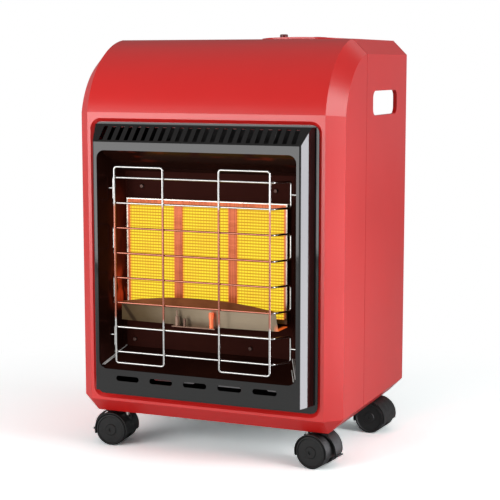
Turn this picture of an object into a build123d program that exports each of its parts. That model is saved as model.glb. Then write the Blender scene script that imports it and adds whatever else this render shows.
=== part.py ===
from build123d import *
from math import cos, radians, sin, sqrt
import os

# Portable cabinet heater for bottled gas: a pressed front housing and a rear cabinet on four
# castors, with a three-plaque radiant burner behind a wire guard.
# X runs across the heater, -Y is the front, +Z is up, and Z = 0 is the floor.
# A "setback" is a distance behind the front plane of the red housing; in front it is negative.

# ---------------------------------------------------------------- driving sizes, millimetres
# Body shells
body_width = 416
body_depth = 313
body_height = 559
ground_clearance = 53
corner_bevel = 22
shell_wall = 1.5
seam_setback = 114
seam_gap = 1
tongue_length = 8
crease_drop = 106
crown_radius = 131
bottom_lip = 10
rear_flange = 14
seat_gap = 0.3

# Pocket of the front housing that takes the black fascia
pocket_half_width = 176
pocket_bottom = 84
pocket_top = 492.5
pocket_corner = 11
pocket_bevel = 5
ledge_wall = 1.5
ledge_width = 8

# Fascia, its window and its vents
fascia_wall = 1.5
fascia_reach = 30
fascia_side_gap = 3.6
fascia_flare = 11.2
fascia_bottom = 97.5
fascia_slope_start = 464.5
fascia_slope_top = 489.5
fascia_slope_run = 24
fascia_edge_radius = 3
fascia_stile = 6.2
window_bottom = 130.5
window_top = 452.5
window_corner = 12
louvre_count = 23
louvre_pitch = 13.6
louvre_width = 6.4
louvre_length = 27
air_slot_count = 5
air_slot_pitch = 54.3
air_slot_length = 37
air_slot_height = 8
air_slot_centre = 117.5

# Firebox, a tapered pan behind the fascia
firebox_wall = 1
firebox_mouth_margin = 1
firebox_rim = 3
firebox_taper = 22
firebox_back_bottom = 157
firebox_back_top = 420
firebox_back_setback = 18

# Burner
plaque_count = 3
plaque_gap = 10
plaque_side_margin = 9
plaque_height = 161
plaque_bottom = 214.5
plaque_thickness = 12.5
plaque_lip = 1.2
frame_wall = 1.2
frame_side_margin = 6
frame_margin = 5
frame_stand = 9.2
plenum_depth = 29
plenum_wall = 1.2
plenum_flange = 4
venturi_radius = 11
venturi_standoff = 2
venturi_neck = 14
venturi_bore = 8.5
venturi_bottom = 172
venturi_top = 330
bell_radius = 15
bell_height = 8
injector_radius = 5
injector_height = 13
manifold_side = 12
manifold_end = 18
bracket_wall = 1.2
bracket_width = 40

# Deflector tray below the plaques, and the pilot in front of it
tray_side_margin = 9
tray_bottom = 203.5
tray_wall_height = 25
tray_lip_middle = 14
tray_lip_end = 3
tray_lean = 7
tray_flare = 4
tray_end_slant = 3
tray_setout = 22
tray_bow = 6
tray_wall = 1
pilot_offset = 27
pilot_height = 22
pilot_setout = 8.2

# Wire guard
guard_wire = 3
guard_reach = 42
weld_depth = 0.3
guard_bend = 4
hoop_count = 4
hoop_pitch = 72.6
hoop_height = 36.6
hoop_bottom = 160
hoop_end_run = 15.5
hoop_side_gap = 15.5
hoop_end_setback = -9
upright_inset = 42
upright_width = 77
upright_bottom = 144
upright_top = 430
hook_wire = 2.5

# Rear cabinet openings
handle_length = 118
handle_height = 36
handle_corner = 11
handle_centre_height = 519
handle_setback = 203
handle_flange = 6

# Controls on the top
panel_centre_x = 96
panel_setback = 165
panel_length = 136
panel_width = 84
panel_rise = 3.2
panel_end_rise = 1
panel_wall = 2
panel_tub_inset = 8
knob_offset = 22
knob_radius = 22
knob_height = 13
knob_travel = 4
well_radius = 26
well_depth = 18.2
well_lip = 0.8
stem_radius = 4
button_offset = -36
button_radius = 6
button_rise = 8
button_travel = 5
igniter_radius = 9.5
igniter_length = 46
running_gap = 0.05

# Gas valve and pipe
valve_width = 28
valve_depth = 26
valve_height = 60
inlet_radius = 7.9
inlet_length = 14
inlet_collar = 11
pipe_radius = 4
pipe_bend = 14
pipe_x = 152

# Divider, base and tank rest
divider_setback = 98
divider_wall = 1.2
divider_flange = 7
divider_slot_size = (70, 7)
divider_slot_pitch = (95, 18)
divider_slot_rows = (90, 350)
shield_wall = 1
shield_front_height = 500
shield_rise = 60
shield_flange = 14
shield_half_width = 180
base_wall = 1.5
base_flange = 12
tank_radius = 157
ring_radius = 105
ring_wall = 2
ring_height = 6
foot_gap = 1
deck_rise = 1.5
switch_size = (30, 22, 18)
switch_inset = 58
switch_gap = 3

# Castors
front_castor_inset = 60
front_castor_setback = 42
rear_castor_inset = 46
rear_castor_from_back = 51
castor_trail = 17
boss_top = 43
boss_radius = 6.6
wheel_radius = 24
wheel_width = 20
wheel_edge = 2
wheel_hub_radius = 9
wheel_dish = 1.2
wheel_side_gap = 0.5
web_width = 9
web_radius = 19
hood_gap = 0.9
hood_wall = 1.5
hood_drop = 7
axle_radius = 3
castor_stem_radius = 4
stem_engagement = 10
socket_radius = 9
socket_height = 22
socket_roof = 2
lever_width = 16
lever_wall = 2.2
lever_gap = 0.6
lever_tongue = 5
lever_pin_radius = 1.6
lever_pin_reach = 20
lever_pin_angle = 62
lever_end_angle = -22
lever_tip_reach = 6
lever_travel = 12
front_left_angle = 185
front_right_angle = -9
rear_left_angle = 176
rear_right_angle = -4

# Screws
side_screw_radius = 4.5
side_screw_shank = 2
side_screw_head = 2.8
side_screw_heights = (394.5, 338.5, 284.5)
side_screw_inset = 7
back_screw_radius = 3.2
back_screw_shank = 1.8
back_screw_head = 2
back_screw_insets = ((-21, 398), (21, 398), (-7, 168), (60, 168))

# ---------------------------------------------------------------- values worked out from them
front_y = (guard_reach - body_depth - side_screw_head) / 2
half_width = body_width / 2
fascia_base_half = pocket_half_width - fascia_side_gap
fascia_face_half = fascia_base_half - fascia_flare
window_half_width = fascia_face_half - fascia_stile
firebox_back_half = window_half_width - firebox_taper
plaque_row = 2 * (firebox_back_half - plaque_side_margin)
plaque_width = (plaque_row - (plaque_count - 1) * plaque_gap) / plaque_count
plaque_pitch = plaque_width + plaque_gap
frame_half_width = firebox_back_half - frame_side_margin
manifold_half_length = (plaque_count - 1) / 2 * plaque_pitch + manifold_end
tray_half_width = firebox_back_half - tray_side_margin
hoop_end_half = window_half_width - hoop_side_gap
hoop_flat_half = hoop_end_half - hoop_end_run
upright_centre = hoop_flat_half - upright_inset
front_castor_x = half_width - front_castor_inset
rear_castor_x = half_width - rear_castor_inset
rear_castor_setback = body_depth - rear_castor_from_back
switch_x = switch_inset - half_width
back_screw_places = [((frame_half_width - abs(inset)) * (1 if inset > 0 else -1), height)
                     for inset, height in back_screw_insets]
bottom_z = ground_clearance
top_z = ground_clearance + body_height
bevel_share = 2 - sqrt(2)
face_setback = -fascia_reach
mouth_setback = face_setback + fascia_wall
upright_setback = guard_wire / 2 - guard_reach
hoop_setback = upright_setback + guard_wire - weld_depth
frame_front = firebox_back_setback - frame_stand
plaque_front = frame_front + frame_wall
plaque_top = plaque_bottom + plaque_height
frame_bottom = plaque_bottom - frame_margin
frame_top = plaque_top + frame_margin
plenum_front = plaque_front + plaque_thickness
plenum_back = plenum_front + plenum_depth
venturi_setback = plenum_back + venturi_radius + venturi_standoff
manifold_top = venturi_bottom - bell_height - injector_height
deck_z = bottom_z + shell_wall
deck_top = deck_z + base_wall
panel_z = top_z
well_floor = top_z + panel_rise - well_depth
knob_x = panel_centre_x + knob_offset
button_x = panel_centre_x + button_offset
valve_top = well_floor - panel_wall
valve_port_z = valve_top - valve_height + 10
divider_back = divider_setback + divider_wall
os.makedirs("parts", exist_ok=True)


# ---------------------------------------------------------------- helpers
def box(x_low, x_high, back_low, back_high, z_low, z_high):
    """Box between two corners; the second pair are setbacks."""
    centre = Pos((x_low + x_high) / 2, front_y + (back_low + back_high) / 2, (z_low + z_high) / 2)
    return centre * Box(x_high - x_low, back_high - back_low, z_high - z_low)


def front_plane(setback):
    """Upright plane seen from the front, with local x along X and local y along Z."""
    return Plane(origin=(0, front_y + setback, 0), x_dir=(1, 0, 0), z_dir=(0, -1, 0))


def slab(sketch, back_low, back_high):
    """A front-view sketch made solid between two setbacks."""
    return extrude(front_plane(back_low) * sketch, amount=back_high - back_low, dir=(0, 1, 0))


def plate(half, low, high, corner=0):
    """Front-view rectangle centred on X = 0, with rounded corners where asked."""
    shape = RectangleRounded(2 * half, high - low, corner) if corner else Rectangle(2 * half, high - low)
    return Pos(0, (low + high) / 2) * shape


def upright(radius, x, setback, z_low, z_high):
    """Vertical cylinder."""
    return Pos(x, front_y + setback, (z_low + z_high) / 2) * Cylinder(radius, z_high - z_low)


def rod(radius, start, end):
    """Cylinder from one point to another."""
    line = Line(start, end)
    return extrude(Plane(origin=start, z_dir=line % 0) * Circle(radius), line.length)


def bent_rod(radius, points, bend, closed=False):
    """Round bar through the points with a bend at each corner, swept one run or bend at a time."""
    path = FilletPolyline(*points, radius=bend, close=closed)
    pieces = [sweep(Plane(origin=run @ 0, z_dir=run % 0) * Circle(radius), path=run) for run in path.edges()]
    return pieces[0].fuse(*pieces[1:])


def write(shape, node):
    """Write one node's solids to its own STEP file."""
    export_step(shape, f"parts/{node}.step")


# ---------------------------------------------------------------- body shells
def crown_centre():
    """Setback and height of the centre of the crown's arc, from its two ends and its radius."""
    chord = sqrt(seam_setback ** 2 + crease_drop ** 2)
    offset = sqrt(crown_radius ** 2 - (chord / 2) ** 2)
    setback = seam_setback / 2 + offset * crease_drop / chord
    return setback, top_z - crease_drop / 2 - offset * seam_setback / chord


def crown_height(setback, inset=0):
    """Height of the crown at a setback, on a face that lies the inset inside the outer one."""
    centre_setback, centre_z = crown_centre()
    return centre_z + sqrt((crown_radius - inset) ** 2 - (setback - centre_setback) ** 2)


def front_block(inset, rear=seam_setback):
    """Solid form of the front housing, drawn in by the inset on every face but the rear."""
    low = bottom_z + inset
    nose = (front_y + inset, crown_height(inset, inset))
    middle = ((inset + rear) / 2, crown_height((inset + rear) / 2, inset))
    heel = (front_y + rear, crown_height(rear, inset))
    outline = Polyline(heel, (front_y + rear, low), (front_y + inset, low), nose)
    outline += ThreePointArc(nose, (front_y + middle[0], middle[1]), heel)
    block = extrude(Plane.YZ * make_face(outline), half_width - inset, both=True)
    rims = [edge for face in block.faces().filter_by(Axis.X) for edge in face.edges()
            if edge.center().Y < front_y + rear - 0.1]
    toe = [edge for edge in block.edges().filter_by(Axis.X)
           if edge.center().Z < low + 0.1 and edge.center().Y < front_y + inset + 0.1]
    return chamfer(rims + toe, corner_bevel - inset * bevel_share)


def body_section(inset):
    """Outline of the body seen from the front: a rectangle with four cut corners."""
    outline = Rectangle(body_width - 2 * inset, body_height - 2 * inset)
    outline = chamfer(outline.vertices(), corner_bevel - inset * bevel_share)
    return Pos(0, bottom_z + body_height / 2) * outline


def front_housing():
    """Red front: crowned top, bevelled edges, an open back and a pocket for the fascia."""
    shell = front_block(0) - front_block(shell_wall, seam_setback + 5)
    lip_end = corner_bevel + bottom_lip
    inner_half = half_width - corner_bevel - bottom_lip
    shell -= box(-inner_half, inner_half, lip_end, seam_setback + 1, bottom_z - 1, deck_z + 1)
    rim_back = pocket_bevel + ledge_wall
    rim = front_block(0) & box(-half_width, half_width, 0, rim_back, bottom_z, top_z - crease_drop)
    floor = plate(pocket_half_width, pocket_bottom, pocket_top, pocket_corner)
    mouth = plate(pocket_half_width + pocket_bevel, pocket_bottom - pocket_bevel,
                  pocket_top + pocket_bevel, pocket_corner + pocket_bevel)
    rim_hole = loft([front_plane(0) * mouth, front_plane(pocket_bevel) * floor])
    window = plate(pocket_half_width - ledge_width, pocket_bottom + ledge_width + 2,
                   pocket_top - ledge_width, pocket_corner)
    return (shell + rim) - rim_hole - slab(window, -1, rim_back + 1)


def cabinet_shell():
    """Rear cabinet: sides and top in one wrap, with a tongue that slips inside the front housing."""
    start = seam_setback + seam_gap
    wrap = slab(body_section(0) - body_section(shell_wall), start, body_depth)
    tongue_outer = shell_wall + seat_gap
    tongue = front_block(tongue_outer, start + shell_wall) - front_block(tongue_outer + shell_wall, start + 5)
    tongue &= box(-half_width, half_width, start - tongue_length, start + shell_wall, deck_top + seat_gap, top_z)
    joggle = body_section(shell_wall / 2) - body_section(tongue_outer + shell_wall)
    joggle = slab(joggle, start, start + shell_wall)
    joggle -= box(-pan_half() - seat_gap, pan_half() + seat_gap, start - 1, start + 5, bottom_z, deck_top + seat_gap)
    wrap += slab(body_section(shell_wall / 2) - body_section(rear_flange), body_depth - shell_wall, body_depth)
    wrap = wrap + joggle + tongue
    inner_half = half_width - corner_bevel - bottom_lip
    wrap -= box(-inner_half, inner_half, start - tongue_length - 1, body_depth + 1, bottom_z - 1,
                bottom_z + rear_flange + 1)
    for x, height in side_screw_places():
        place = (x, front_y + body_depth + 1, height)
        wrap -= rod(side_screw_shank + seat_gap, place, (x, place[1] - shell_wall - 2, height))
    side_plane = Plane(origin=(0, front_y + handle_setback, handle_centre_height), x_dir=(0, 1, 0), z_dir=(1, 0, 0))
    for side in (-1, 1):
        face = side_plane.offset(side * half_width)
        hole = RectangleRounded(handle_length, handle_height, handle_corner)
        bush = RectangleRounded(handle_length + 2 * shell_wall, handle_height + 2 * shell_wall,
                                handle_corner + shell_wall)
        wrap += extrude(face * bush, -side * handle_flange)
        wrap -= extrude(face * hole, handle_flange + 1, both=True)
    tub = SlotOverall(panel_length - 2 * panel_tub_inset, panel_width - 2 * panel_tub_inset)
    tub_place = Pos(panel_centre_x, front_y + panel_setback, top_z - shell_wall - 1)
    wrap -= tub_place * extrude(tub, shell_wall + 2)
    return wrap


def side_screw_places():
    """X and height of each screw head on the rear flanges."""
    edge = half_width - side_screw_inset
    return [(side * edge, height) for side in (-1, 1) for height in side_screw_heights]


def pan_half():
    """Half width of the base pan, up to the shells' lower bevels."""
    return half_width - shell_wall - (corner_bevel - shell_wall * bevel_share) - seat_gap


def base_pan():
    """Steel floor of the cabinet, on the shells' bottom lips, with a socket for each castor stem."""
    half = pan_half()
    front = corner_bevel + 1
    back = body_depth - shell_wall - seat_gap
    pan = box(-half, half, front, back, deck_z, deck_top)
    pan += box(-half, half, back - base_wall, back, deck_z, deck_z + base_flange)
    top = deck_z + socket_height
    for _, x, setback, _ in castor_places():
        pan += upright(socket_radius, x, setback, deck_z, top)
        pan -= upright(castor_stem_radius + running_gap, x, setback, deck_z - 1, top - socket_roof)
    return pan + pan_rise(0, deck_top) - pan_rise(base_wall, deck_z)


def pan_rise(inset, low):
    """Raised round seat for the bottle's foot inside the ring, one rise high from a height."""
    radius = ring_radius - ring_wall - foot_gap - inset
    disc = upright(radius, 0, divider_back + tank_radius, low, low + deck_rise)
    back = body_depth - shell_wall - 2 * base_wall - ring_wall - foot_gap - inset
    return disc & box(-half_width, half_width, 0, back, low, low + deck_rise)


def tank_ring():
    """Raised ring on the base pan that keeps a gas bottle's foot in place."""
    centre = divider_back + tank_radius
    ring = upright(ring_radius, 0, centre, deck_top, deck_top + ring_height)
    ring -= upright(ring_radius - ring_wall, 0, centre, deck_top - 1, deck_top + ring_height + 1)
    return ring & box(-half_width, half_width, 0, body_depth - shell_wall - 2 * base_wall, deck_top, top_z)


def divider_panel():
    """Steel wall between the firebox and the bottle bay, with a flanged edge and air slots."""
    inset = shell_wall + seat_gap
    form = front_block(inset)
    wall = form & box(-half_width, half_width, divider_setback, divider_back, deck_top, top_z)
    flange = (form - front_block(inset + divider_wall, seam_setback + 5)) & box(
        -half_width, half_width, divider_setback, divider_setback + divider_flange, deck_top, top_z)
    wall += flange
    slot = SlotOverall(*divider_slot_size)
    across, up = divider_slot_pitch
    for low in divider_slot_rows:
        for row in range(4):
            for column in (-1, 0, 1):
                place = Pos(column * across, low + row * up)
                wall -= slab(place * slot, divider_setback - 1, divider_back + 1)
    hole = Pos(pipe_x, valve_port_z) * Circle(pipe_radius + seat_gap)
    return wall - slab(hole, divider_setback - 1, divider_back + 1)


def top_heat_shield():
    """Sloping sheet above the firebox that keeps its heat from the controls."""
    low = shield_front_height
    high = low + shield_rise
    front = front_y + pocket_bevel + ledge_wall + 4
    back = front_y + divider_setback
    outline = Polyline((front, low), (back - shield_wall, high), (back - shield_wall, high + shield_flange),
                       (back, high + shield_flange), (back, high - shield_wall), (front, low - shield_wall),
                       close=True)
    shield = extrude(Plane.YZ * make_face(outline), shield_half_width, both=True)
    notch = pipe_radius + 2
    return shield - box(pipe_x - notch, pipe_x + notch, venturi_setback - notch, divider_setback + 1, low - 5,
                        high + shield_flange + 1)


# ---------------------------------------------------------------- fascia and firebox
def fascia_block(inset, rear):
    """Solid form of the fascia's raised part, drawn in by the inset on every face but the rear."""
    base = front_y + pocket_bevel
    face = front_y + face_setback
    slope_end = face + fascia_slope_run
    side = Polyline((base, fascia_bottom), (face, fascia_bottom), (face, fascia_slope_start),
                    (slope_end, fascia_slope_top), (base, fascia_slope_top), close=True)
    plan = Polyline((-fascia_base_half, base), (-fascia_face_half, face), (fascia_face_half, face),
                    (fascia_base_half, base), close=True)
    side_face, plan_face = make_face(side), make_face(plan)
    if inset:
        side_face = offset(side_face, -inset, kind=Kind.INTERSECTION)
        plan_face = offset(plan_face, -inset, kind=Kind.INTERSECTION)
    block = extrude(Plane.YZ * side_face, fascia_base_half, both=True)
    block &= extrude(plan_face, 2 * top_z)
    stiles = [edge for edge in block.edges() if abs(edge.center().Y - face - inset) < 0.1
              and edge.length > window_top - window_bottom]
    block = fillet([edge for edge in stiles if abs(edge.center().X) > window_half_width],
                   fascia_edge_radius - inset)
    if rear > pocket_bevel:
        mouth = block.faces().filter_by(Axis.Y).sort_by(Axis.Y)[-1]
        block += extrude(mouth, amount=rear - pocket_bevel + inset, dir=(0, 1, 0))
    return block


def fascia():
    """Black frame that stands out of the pocket: sloped and louvred top, window, air slots."""
    seat = pocket_bevel
    shell = fascia_block(0, seat) - fascia_block(fascia_wall, seat + 5)
    rim = plate(pocket_half_width - seat_gap, pocket_bottom + seat_gap, pocket_top - seat_gap,
                pocket_corner - seat_gap)
    flange = slab(rim, seat - fascia_wall, seat) - fascia_block(fascia_wall, seat + 5)
    shell += flange - fascia_block(0, seat)
    shell -= slab(plate(window_half_width, window_bottom, window_top, window_corner),
                  face_setback - 1, mouth_setback + 1)
    shell -= louvre_cutters()
    slot = SlotOverall(air_slot_length, air_slot_height)
    middle = (air_slot_count - 1) / 2
    for number in range(air_slot_count):
        place = Pos((number - middle) * air_slot_pitch, air_slot_centre)
        shell -= slab(place * slot, face_setback - 1, mouth_setback + 1)
    return shell


def louvre_cutters():
    """The row of slots through the fascia's sloped top, each square to the slope."""
    rise = fascia_slope_top - fascia_slope_start
    centre = (0, front_y + face_setback + fascia_slope_run / 2, fascia_slope_start + rise / 2)
    slope = Plane(origin=centre, x_dir=(1, 0, 0), z_dir=(0, -rise, fascia_slope_run))
    middle = (louvre_count - 1) / 2
    slots = Sketch() + [Pos((number - middle) * louvre_pitch, 0) * Rectangle(louvre_width, louvre_length)
                        for number in range(louvre_count)]
    return extrude(slope * slots, 3 * fascia_wall, both=True)


def firebox():
    """Enamelled pan that tapers back from the window to the burner wall, open at the front."""
    half = window_half_width + firebox_mouth_margin
    low, high = window_bottom - firebox_mouth_margin, window_top + firebox_mouth_margin
    wall = firebox_wall
    hollow = loft([front_plane(mouth_setback) * plate(half, low, high),
                   front_plane(firebox_back_setback) * plate(firebox_back_half, firebox_back_bottom,
                                                             firebox_back_top)])
    pan = loft([front_plane(mouth_setback) * plate(half + wall, low - wall, high + wall),
                front_plane(firebox_back_setback + wall) * plate(
                    firebox_back_half + wall, firebox_back_bottom - wall, firebox_back_top + wall)])
    rim = plate(half + firebox_rim, low - firebox_rim, high + firebox_rim)
    pan += slab(rim, mouth_setback, mouth_setback + wall)
    window = plate(burner_window_half(), plaque_bottom - seat_gap, plaque_top + seat_gap)
    pan = pan - hollow - slab(window, firebox_back_setback - 1, firebox_back_setback + wall + 1)
    for height in hook_heights():
        hole = rod(hook_wire / 2 + seat_gap, (-half - 5, front_y + hoop_end_setback, height),
                   (half + 5, front_y + hoop_end_setback, height))
        pan -= hole
    for x, height in back_screw_places:
        start = front_y + firebox_back_setback - 1
        pan -= rod(back_screw_shank + seat_gap, (x, start, height), (x, start + firebox_wall + 2, height))
    return pan


def burner_window_half():
    """Half width of the opening in the burner wall, clear of the outer plaques."""
    return (plaque_count - 1) / 2 * plaque_pitch + plaque_width / 2 + seat_gap


# ---------------------------------------------------------------- burner
def plaque_centres():
    """X of each ceramic plaque."""
    return [(number - (plaque_count - 1) / 2) * plaque_pitch for number in range(plaque_count)]


def burner_frame():
    """Stainless frame over the plaques, standing on the burner wall."""
    ring = plate(frame_half_width, frame_bottom, frame_top)
    inner = plate(frame_half_width - frame_wall, frame_bottom + frame_wall, frame_top - frame_wall)
    frame = slab(ring, frame_front, firebox_back_setback)
    frame -= slab(inner, plaque_front, firebox_back_setback + 1)
    for x in plaque_centres():
        opening = plate(plaque_width / 2 - plaque_lip, plaque_bottom + plaque_lip, plaque_top - plaque_lip)
        frame -= slab(Pos(x, 0) * opening, frame_front - 1, plaque_front + 1)
    return frame


def plaque(x):
    """One ceramic radiant tile."""
    return slab(plaque_outline(x, 0), plaque_front, plenum_front)


def plaque_outline(x, margin):
    """Front view of a plaque grown by the margin all round."""
    return Pos(x, 0) * plate(plaque_width / 2 + margin, plaque_bottom - margin, plaque_top + margin)


def burner_body(x):
    """Cast plenum behind a plaque, flanged to the burner wall, with its venturi and bell mouth."""
    start = firebox_back_setback + firebox_wall
    body = slab(plaque_outline(x, seat_gap + plenum_wall), start, plenum_back)
    body += slab(plaque_outline(x, plenum_flange), start, start + plenum_wall)
    body -= slab(plaque_outline(x, seat_gap), start - 1, plenum_front)
    body -= slab(plaque_outline(x, -plaque_lip), plenum_front - 1, plenum_back - plenum_wall)
    tube = upright(venturi_radius, x, venturi_setback, venturi_bottom, venturi_top)
    half = venturi_neck / 2
    neck = box(x - half, x + half, plenum_back - plenum_wall / 2, venturi_setback,
               venturi_top - venturi_neck - 4, venturi_top - 4)
    foot = box(x - half, x + half, plenum_back - plenum_wall / 2, venturi_setback,
               plaque_bottom, plaque_bottom + venturi_neck)
    bell = Pos(x, front_y + venturi_setback, venturi_bottom - bell_height / 2) * Cone(
        bell_radius, venturi_radius, bell_height)
    bore = upright(venturi_bore, x, venturi_setback, venturi_bottom - bell_height - 1, venturi_bottom + 60)
    return body + tube + neck + foot + bell - bore


def gas_manifold():
    """Square tube below the venturis."""
    low = manifold_top - manifold_side
    half = manifold_side / 2
    return box(-manifold_half_length, manifold_half_length, venturi_setback - half, venturi_setback + half,
               low, manifold_top)


def injectors():
    """A brass jet under each bell mouth, as separate solids."""
    return Compound([injector(x) for x in plaque_centres()])


def injector(x):
    """Hexagonal jet with a tapered nose."""
    seat = Plane(origin=(x, front_y + venturi_setback, manifold_top))
    head = extrude(seat * RegularPolygon(injector_radius, 6), injector_height * 0.6)
    nose = seat.offset(injector_height * 0.6) * Pos(0, 0, injector_height * 0.2) * Cone(
        injector_radius * 0.8, injector_radius * 0.3, injector_height * 0.4)
    return (head + nose).solid()


def manifold_bracket():
    """Angle that carries the manifold from the divider."""
    half = bracket_width / 2
    low = manifold_top - manifold_side - bracket_wall
    shelf = box(-half, half, venturi_setback - manifold_side / 2, divider_setback, low, low + bracket_wall)
    return shelf + box(-half, half, divider_setback - bracket_wall, divider_setback, low, low + 24)


# ---------------------------------------------------------------- deflector and pilot
def tray_outline():
    """Plan of the faceted tray front at its foot."""
    bowed = [(-1, tray_bow), (-0.9, 0.55 * tray_bow), (-0.4, 0), (0.4, 0), (0.9, 0.55 * tray_bow), (1, tray_bow)]
    return [(share * tray_half_width, front_y - tray_setout + back) for share, back in bowed]


def tray_strip(low, high, low_shift, high_shift):
    """One band of the tray front between two heights, each edge moved forward by its shift."""
    bands = []
    for height, shift in ((low, low_shift), (high, high_shift)):
        front = [(x, y - shift) for x, y in tray_outline()]
        back = [(x, y + tray_wall) for x, y in front]
        bands.append(Pos(0, 0, height) * make_face(Polyline(*front, *reversed(back), close=True)))
    return loft(bands)


def deflector_tray():
    """Folded tray in front of the burner's foot: floor, flared faceted wall and a lip that crowns upward."""
    back_edge = front_y + firebox_back_setback
    floor = make_face(Polyline(*tray_outline(), (tray_half_width, back_edge), (-tray_half_width, back_edge),
                               close=True))
    lip_start = tray_bottom + tray_wall_height
    lip_top = lip_start + tray_lip_middle
    side, end = tray_half_width - tray_end_slant, lip_start + tray_lip_end
    foot = tray_half_width - seat_gap
    outline = Polyline((-side, end), (-foot, tray_bottom - 1), (foot, tray_bottom - 1), (side, end))
    outline += ThreePointArc((side, end), (0, lip_top), (-side, end))
    wall = tray_strip(tray_bottom, lip_start, 0, tray_flare)
    wall += tray_strip(lip_start, lip_top, tray_flare, tray_flare - tray_lean)
    wall = wall & slab(make_face(outline), -tray_setout - 20, frame_front)
    return wall + Pos(0, 0, tray_bottom) * extrude(floor, tray_wall)


def pilot_bracket():
    """Small angle under the tray that holds the pilot, the probe and the spark rod."""
    half = pilot_offset + 7
    front = -tray_setout - pilot_setout - 4
    return box(-half, half, front, firebox_back_setback, tray_bottom - bracket_wall, tray_bottom)


def pilot_burner():
    """Pilot hood on its stalk."""
    place = -tray_setout - pilot_setout
    stalk = upright(3, pilot_offset, place, tray_bottom, tray_bottom + pilot_height - 8)
    hood = upright(3.8, pilot_offset, place, tray_bottom + pilot_height - 8, tray_bottom + pilot_height)
    slot = box(pilot_offset - 5, pilot_offset + 5, place - 1, place + 1, tray_bottom + pilot_height - 5,
               tray_bottom + pilot_height + 1)
    return stalk + hood - slot


def spark_rod():
    """Ceramic sleeve and steel tip of the spark electrode."""
    place = -tray_setout - pilot_setout
    sleeve = upright(2.6, -pilot_offset, place, tray_bottom, tray_bottom + pilot_height * 0.6)
    return sleeve + upright(1, -pilot_offset, place, tray_bottom, tray_bottom + pilot_height)


def flame_probe():
    """Thermocouple between the spark rod and the pilot."""
    place = -tray_setout - pilot_setout
    return upright(2, -pilot_offset + 12, place, tray_bottom, tray_bottom + pilot_height * 0.5)


# ---------------------------------------------------------------- guard
def hook_heights():
    """Heights of the two hoops that hook into the firebox walls."""
    return [hoop_bottom + number * hoop_pitch + hoop_height / 2 for number in (0, hoop_count - 1)]


def guard():
    """Welded wire guard: hoops across, two upright loops in front of them, and four hooks."""
    radius = guard_wire / 2
    flat, end = front_y + hoop_setback, front_y + hoop_end_setback
    half_loop = [(-hoop_end_half, end), (-hoop_flat_half, flat), (hoop_flat_half, flat), (hoop_end_half, end)]
    wires = []
    for number in range(hoop_count):
        low = hoop_bottom + number * hoop_pitch
        middle = low + hoop_height / 2
        points = [(x, y, low) for x, y in half_loop] + [(x, y, low + hoop_height) for x, y in reversed(half_loop)]
        hoop = bent_rod(radius, points, guard_bend, closed=True)
        if middle in hook_heights():
            hoop += rod(hook_wire / 2, (-hoop_end_half - 8, end, middle), (-hoop_end_half, end, middle))
            hoop += rod(hook_wire / 2, (hoop_end_half, end, middle), (hoop_end_half + 8, end, middle))
        wires.append(hoop.solid())
    face = front_y + upright_setback
    for side in (-1, 1):
        near, far = side * upright_centre - upright_width / 2, side * upright_centre + upright_width / 2
        corners = [(near, face, upright_bottom), (far, face, upright_bottom), (far, face, upright_top),
                   (near, face, upright_top)]
        wires.append(bent_rod(radius, corners, guard_bend, closed=True).solid())
    return Compound(wires)


# ---------------------------------------------------------------- controls
def control_panel():
    """Low crowned pad on the cabinet top, with holes for the knob's well and for the button."""
    place = Pos(panel_centre_x, front_y + panel_setback, 0)
    half_length = panel_length / 2
    drop = panel_rise - panel_end_rise
    arch_radius = (half_length ** 2 + drop ** 2) / (2 * drop)
    pad = extrude(SlotOverall(panel_length, panel_width), panel_rise)
    arch = Pos(0, 0, panel_rise - arch_radius) * Rot(90, 0, 0) * Cylinder(arch_radius, panel_width + 2)
    pad = Pos(0, 0, panel_z) * (pad & arch)
    tub_length = panel_length - 2 * panel_tub_inset - 2 * seat_gap
    tub_width = panel_width - 2 * panel_tub_inset - 2 * seat_gap
    skirt = SlotOverall(tub_length, tub_width) - SlotOverall(tub_length - 2 * panel_wall,
                                                             tub_width - 2 * panel_wall)
    pad += Pos(0, 0, top_z - 10) * extrude(skirt, 10)
    panel = place * pad
    for radius, x in ((well_radius + panel_wall + seat_gap, knob_x), (button_radius + seat_gap, button_x)):
        panel -= upright(radius, x, panel_setback, top_z - 11, top_z + panel_rise + 1)
    return panel


def knob_well():
    """Cup that the knob sinks into, in the control panel's hole and on the valve."""
    cup = upright(well_radius + panel_wall, knob_x, panel_setback, valve_top, top_z + panel_end_rise + well_lip)
    cup -= upright(well_radius, knob_x, panel_setback, well_floor, top_z + panel_rise + 1)
    return cup - upright(stem_radius + 2.5, knob_x, panel_setback, valve_top - 1, well_floor + 1)


def knob_base():
    """Height of the knob's underside, above the well floor by its push travel and a gap."""
    return well_floor + knob_travel + 1.5


def control_knob():
    """Round knob with a grip bar across its face and a bore for the stem."""
    base = knob_base()
    skirt_height = knob_height * 0.4
    body = upright(knob_radius, knob_x, panel_setback, base, base + skirt_height)
    body = chamfer(body.edges().group_by(Axis.Z)[-1], 1.5)
    grip = SlotOverall(2 * knob_radius - 5, 11)
    body += Pos(knob_x, front_y + panel_setback, base + skirt_height - 1) * extrude(
        Rot(0, 0, 90) * grip, knob_height - skirt_height + 1, taper=4)
    bore = upright(stem_radius + running_gap, knob_x, panel_setback, base - 1, base + knob_height * 0.7)
    return body - bore


def valve_stem():
    """Stem that turns with the knob; it runs in the push sleeve."""
    return upright(stem_radius, knob_x, panel_setback, valve_top - 16, knob_base() + knob_height * 0.7 - seat_gap)


def push_sleeve():
    """Sprung collar that slides in the valve when the knob is pressed."""
    low, high = valve_top - 12, knob_base() - seat_gap
    collar = upright(stem_radius + 2, knob_x, panel_setback, low, high)
    return collar - upright(stem_radius + running_gap, knob_x, panel_setback, low - 1, high + 1)


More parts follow.
